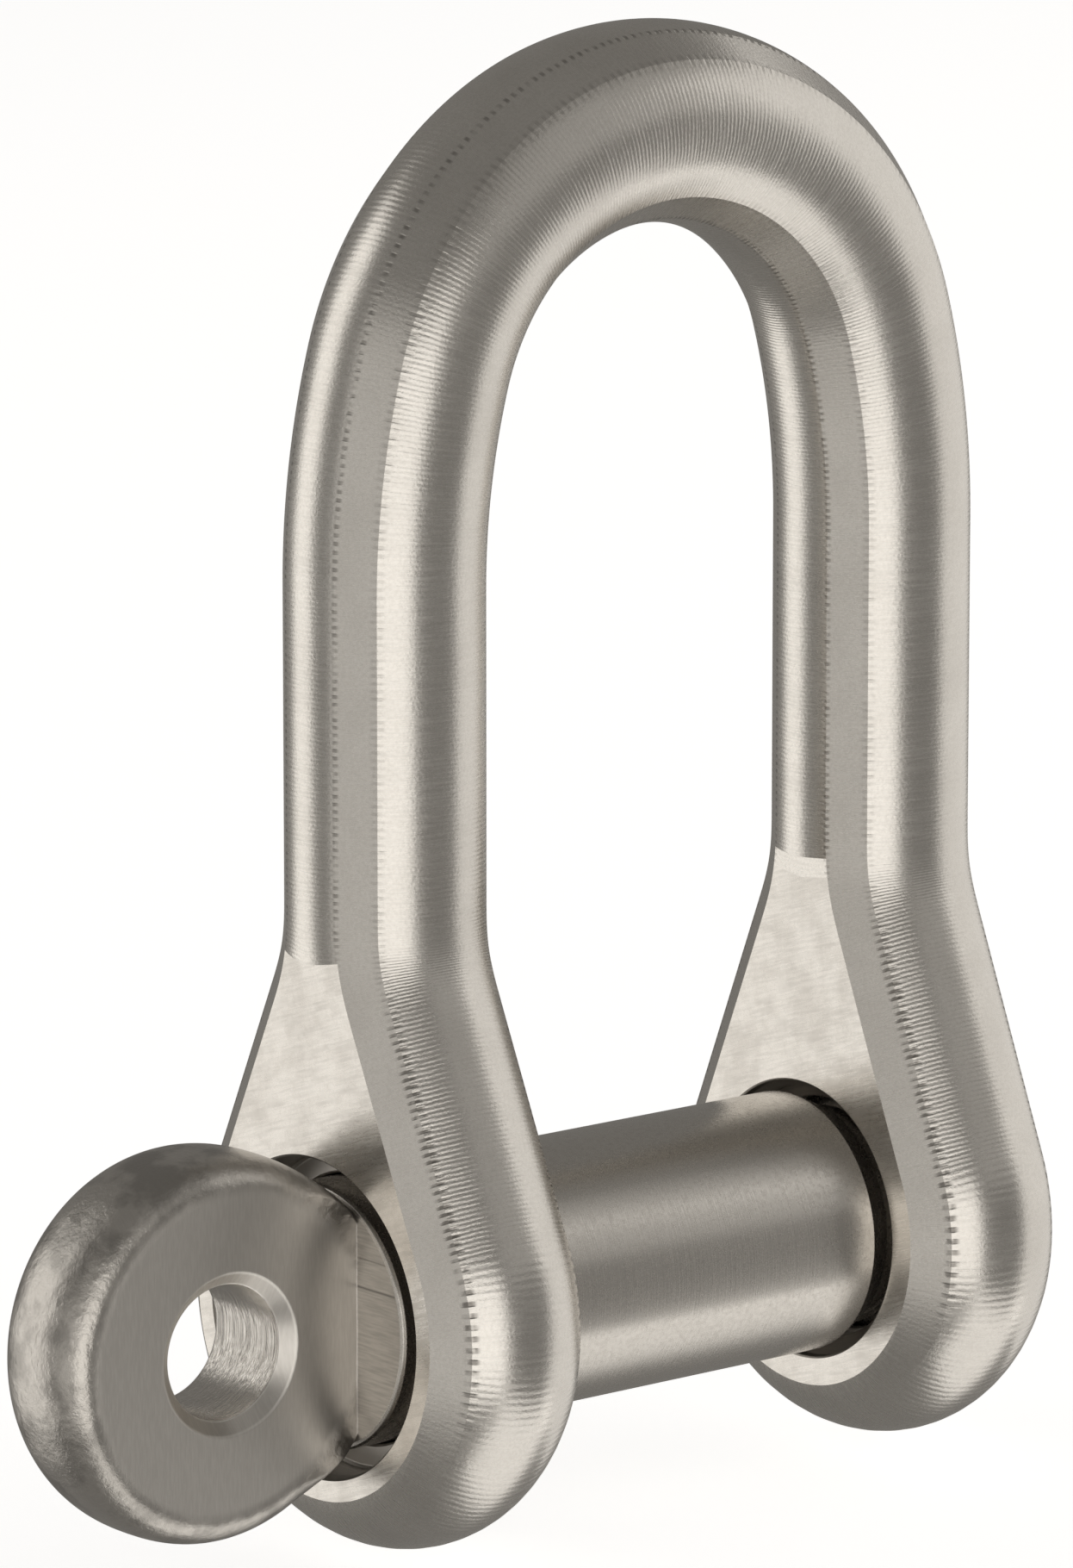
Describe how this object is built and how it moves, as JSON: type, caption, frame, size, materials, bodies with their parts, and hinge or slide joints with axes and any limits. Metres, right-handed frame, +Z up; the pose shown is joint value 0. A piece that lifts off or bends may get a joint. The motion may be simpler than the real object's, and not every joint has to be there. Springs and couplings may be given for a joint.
{
  "type": "screw-pin shackle",
  "caption": "Straight-legged stainless steel shackle with machined eye ears and a removable screw pin that has a flat round eye head.",
  "frame": {"origin": "on the pin's axis, midway between the inner faces of the two ears", "axes": "+X along the pin from the eye head towards the tapped ear, +Z up the legs to the crown, +Y completes the right-handed frame and is the direction across the ears"},
  "size_m": [0.0524, 0.022, 0.067],
  "materials": {
    "body_steel": "satin machined stainless steel with fine tool marks across the bar",
    "pin_steel": "satin turned stainless steel, with a tumbled and slightly pitted rim on the eye head"
  },
  "bodies": {
    "body": {"shackle_body": "body_steel"},
    "pin": {"screw_pin": "pin_steel"}
  },
  "joints": [
    {"name": "pin_withdraw", "type": "slide", "parent": "body", "child": "pin", "axis": [-1, 0, 0], "range_m": [0, 0.06]}
  ]
}
